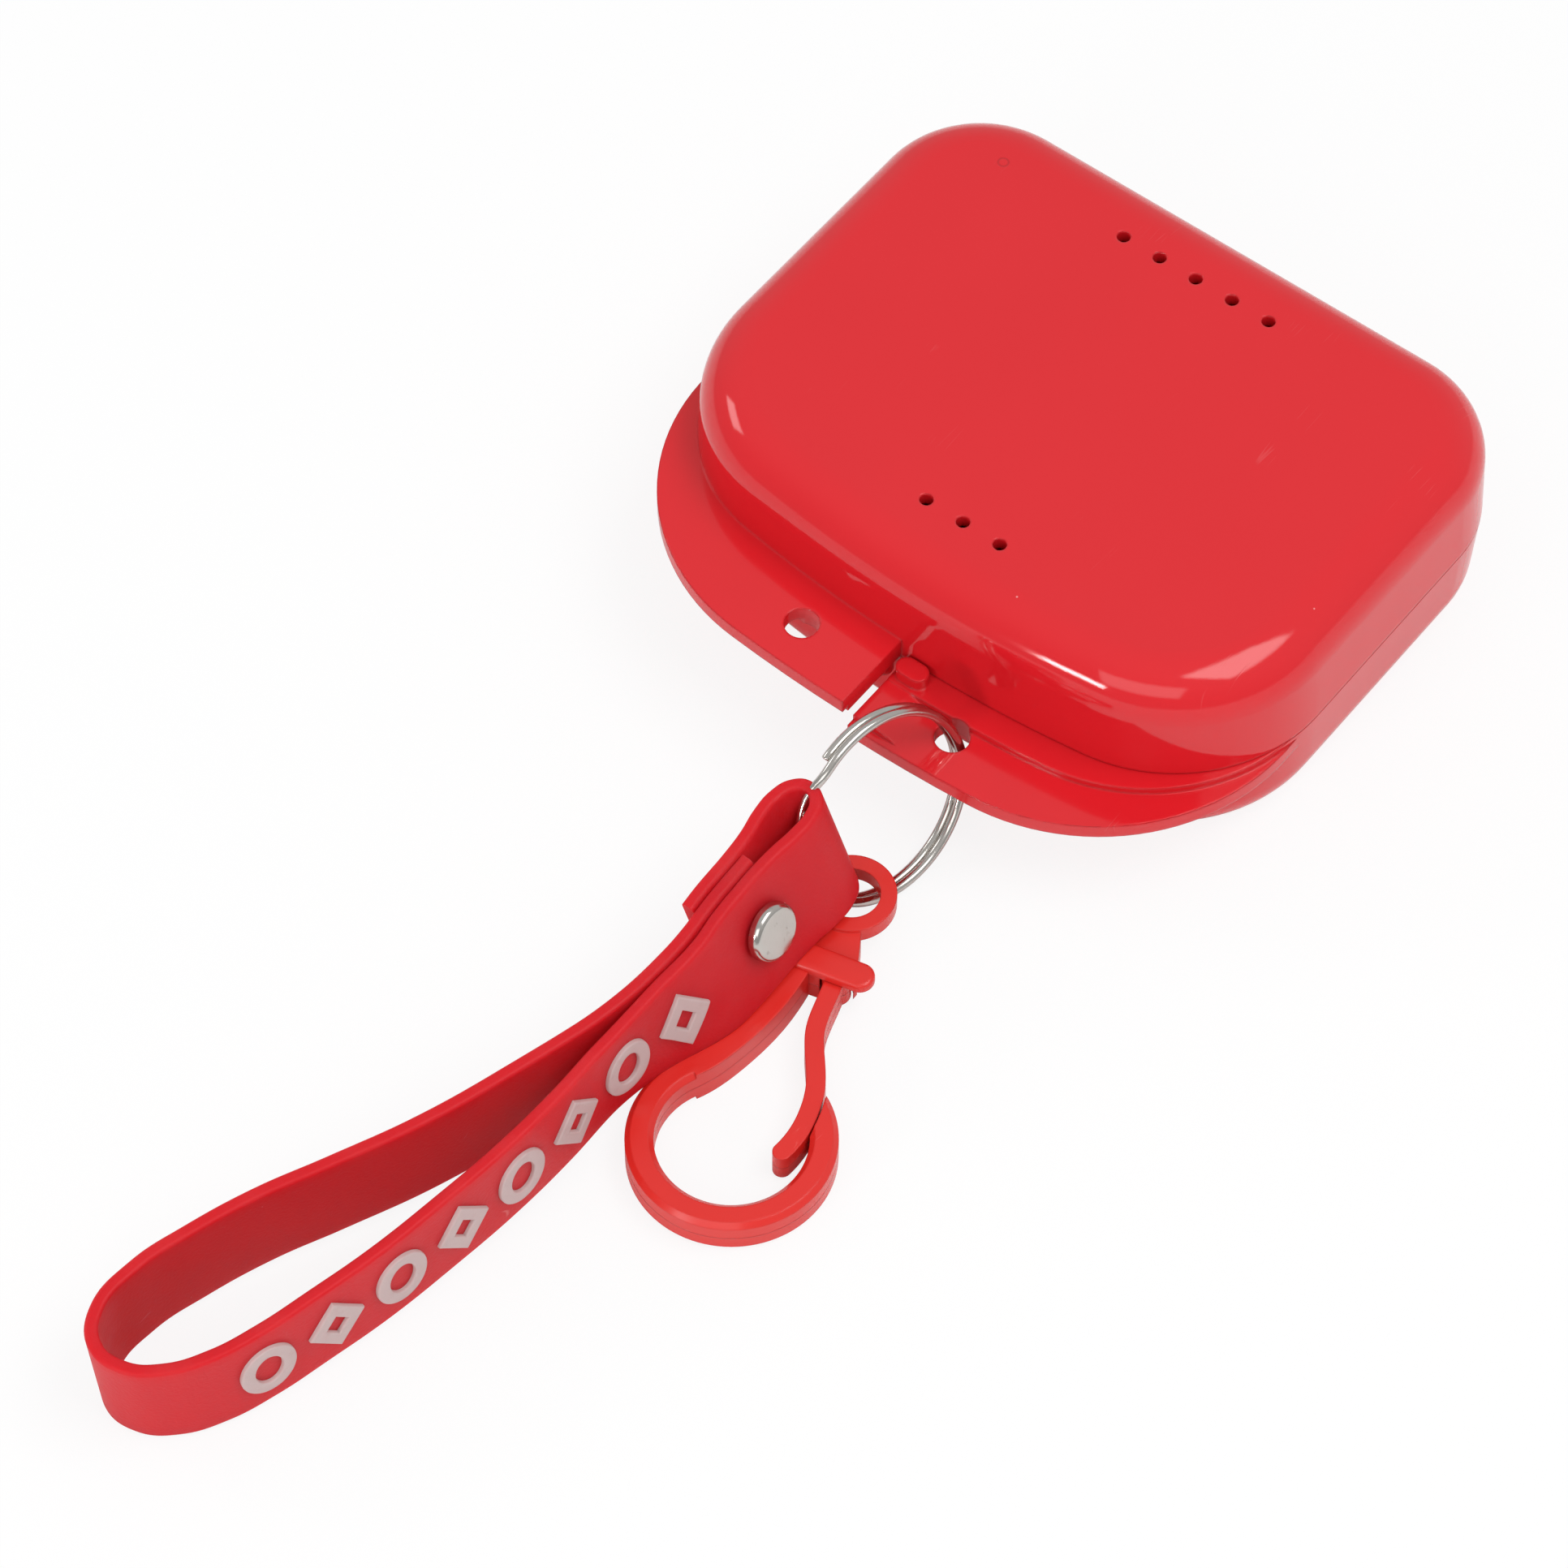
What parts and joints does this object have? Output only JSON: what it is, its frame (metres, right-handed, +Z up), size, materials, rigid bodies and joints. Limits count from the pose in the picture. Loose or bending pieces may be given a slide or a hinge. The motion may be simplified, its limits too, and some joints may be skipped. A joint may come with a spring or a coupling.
{
  "type": "retainer case",
  "caption": "Hinged clamshell case for a dental retainer, with air holes and a front flange that holds a split ring, a riveted wrist strap and a snap clasp.",
  "frame": {"origin": "middle of the flat face that the case rests on", "axes": "+Z up, +Y from the front flange to the hinge, +X to the right seen from the front"},
  "size_m": [0.081, 0.1889, 0.0276],
  "materials": {
    "case_plastic": "glossy red moulded polypropylene",
    "silicone": "satin red silicone",
    "clasp_plastic": "semi-gloss orange-red moulded plastic",
    "nickel": "polished nickel plate"
  },
  "bodies": {
    "base": {"base_shell": "case_plastic"},
    "lid": {"lid_shell": "case_plastic"},
    "ring": {"key_ring": "nickel"},
    "strap": {"wrist_strap": "silicone", "rivet_cap": "nickel", "rivet_back": "nickel"},
    "clasp": {"clasp_body": "clasp_plastic"},
    "gate": {"clasp_gate": "clasp_plastic"}
  },
  "joints": [
    {"name": "lid_hinge", "type": "hinge", "parent": "base", "child": "lid", "pos_m": [0, 0.034, 0.0138], "axis": [-1, 0, 0], "range_deg": [0, 180]},
    {"name": "ring_slide_round", "type": "hinge", "parent": "base", "child": "ring", "pos_m": [0.0093, -0.0478, 0.0117], "axis": [-0.9373, 0.1531, -0.3131], "range_deg": [0, 30]},
    {"name": "strap_swing", "type": "hinge", "parent": "ring", "child": "strap", "pos_m": [0.0076, -0.0595, 0.0125], "axis": [0, 0, -1], "range_deg": [0, 6]},
    {"name": "clasp_swing", "type": "hinge", "parent": "ring", "child": "clasp", "pos_m": [0.011, -0.0553, 0.004], "axis": [0, 0, 1], "range_deg": [0, 25]},
    {"name": "gate_flex", "type": "hinge", "parent": "clasp", "child": "gate", "pos_m": [0.01592, -0.06433, 0.0023], "axis": [0, 0, -1], "range_deg": [0, 18], "stiffness_Nm_per_rad": 0.05}
  ]
}
